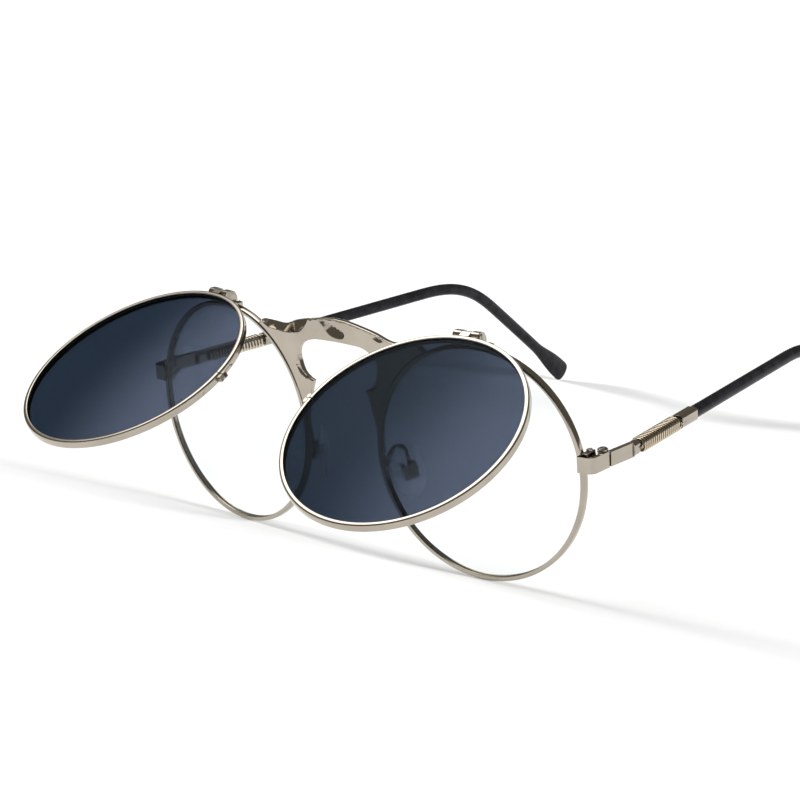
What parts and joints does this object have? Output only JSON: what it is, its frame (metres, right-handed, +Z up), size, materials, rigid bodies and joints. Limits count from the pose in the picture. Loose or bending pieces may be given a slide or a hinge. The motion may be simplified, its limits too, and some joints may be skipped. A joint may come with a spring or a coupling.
{
  "type": "flip up sunglasses",
  "caption": "round polished metal eyeglasses with clear lenses and hinged tinted flip up lenses, wound coil temples and black ear tips",
  "frame": {"origin": "on the ground, under the middle of the glasses as they stand on the rims and ear tips", "axes": "+Z up, +X to the right as seen from in front, lenses facing -Y and temples running towards +Y"},
  "size_m": [0.1262, 0.1912, 0.053],
  "materials": {
    "polished_metal": "polished",
    "screw_steel": "satin",
    "clear_lens": "polished",
    "tinted_lens": "polished",
    "pad_soft": "satin",
    "black_sleeve": "gloss"
  },
  "bodies": {
    "front": {"rim_left": "polished_metal", "rim_right": "polished_metal", "clear_lens_left": "clear_lens", "clear_lens_right": "clear_lens", "rim_lock_left": "polished_metal", "rim_lock_right": "polished_metal", "rim_lock_screw_left": "screw_steel", "rim_lock_screw_right": "screw_steel", "bridge": "polished_metal", "endpiece_left": "polished_metal", "endpiece_right": "polished_metal", "hinge_screw_left": "screw_steel", "hinge_screw_right": "screw_steel", "pad_arm_left": "polished_metal", "pad_arm_right": "polished_metal", "pad_box_left": "polished_metal", "pad_box_right": "polished_metal", "pad_screw_left": "screw_steel", "pad_screw_right": "screw_steel", "flip_mount_left": "polished_metal", "flip_mount_right": "polished_metal", "flip_pin_left": "screw_steel", "flip_pin_right": "screw_steel"},
    "flip_left": {"flip_rim_left": "polished_metal", "tinted_lens_left": "tinted_lens", "flip_knuckle_left": "polished_metal", "flip_lock_left": "polished_metal", "flip_lock_screw_left": "screw_steel"},
    "pad_left": {"nose_pad_left": "pad_soft"},
    "temple_left": {"temple_leaf_left": "polished_metal", "temple_collar_left": "polished_metal", "temple_core_left": "screw_steel", "temple_coil_left": "polished_metal", "temple_ferrule_left": "polished_metal", "temple_tip_left": "black_sleeve"},
    "flip_right": {"flip_rim_right": "polished_metal", "tinted_lens_right": "tinted_lens", "flip_knuckle_right": "polished_metal", "flip_lock_right": "polished_metal", "flip_lock_screw_right": "screw_steel"},
    "pad_right": {"nose_pad_right": "pad_soft"},
    "temple_right": {"temple_leaf_right": "polished_metal", "temple_collar_right": "polished_metal", "temple_core_right": "screw_steel", "temple_coil_right": "polished_metal", "temple_ferrule_right": "polished_metal", "temple_tip_right": "black_sleeve"}
  },
  "joints": [
    {"name": "flip_hinge_left", "type": "hinge", "parent": "front", "child": "flip_left", "pos_m": [-0.03491, -0.04891, 0.05208], "axis": [-0.994, 0.109, 0.0061], "range_deg": [-63.4, 25]},
    {"name": "flip_hinge_right", "type": "hinge", "parent": "front", "child": "flip_right", "pos_m": [0.03491, -0.04891, 0.05208], "axis": [-0.994, -0.109, -0.0061], "range_deg": [-58.75, 25]},
    {"name": "temple_hinge_left", "type": "hinge", "parent": "front", "child": "temple_left", "pos_m": [-0.061, -0.03959, 0.03016], "axis": [0, 0.0555, -0.9985], "range_deg": [0, 84]},
    {"name": "temple_hinge_right", "type": "hinge", "parent": "front", "child": "temple_right", "pos_m": [0.061, -0.03952, 0.02896], "axis": [0, -0.0555, 0.9985], "range_deg": [0, 76]},
    {"name": "pad_rock_left", "type": "hinge", "parent": "front", "child": "pad_left", "pos_m": [-0.01382, -0.04378, 0.01941], "axis": [-0.5598, 0.7861, 0.2622], "range_deg": [-8, 8]},
    {"name": "pad_rock_right", "type": "hinge", "parent": "front", "child": "pad_right", "pos_m": [0.01382, -0.04378, 0.01941], "axis": [0.5598, 0.7861, 0.2622], "range_deg": [-8, 8]}
  ]
}
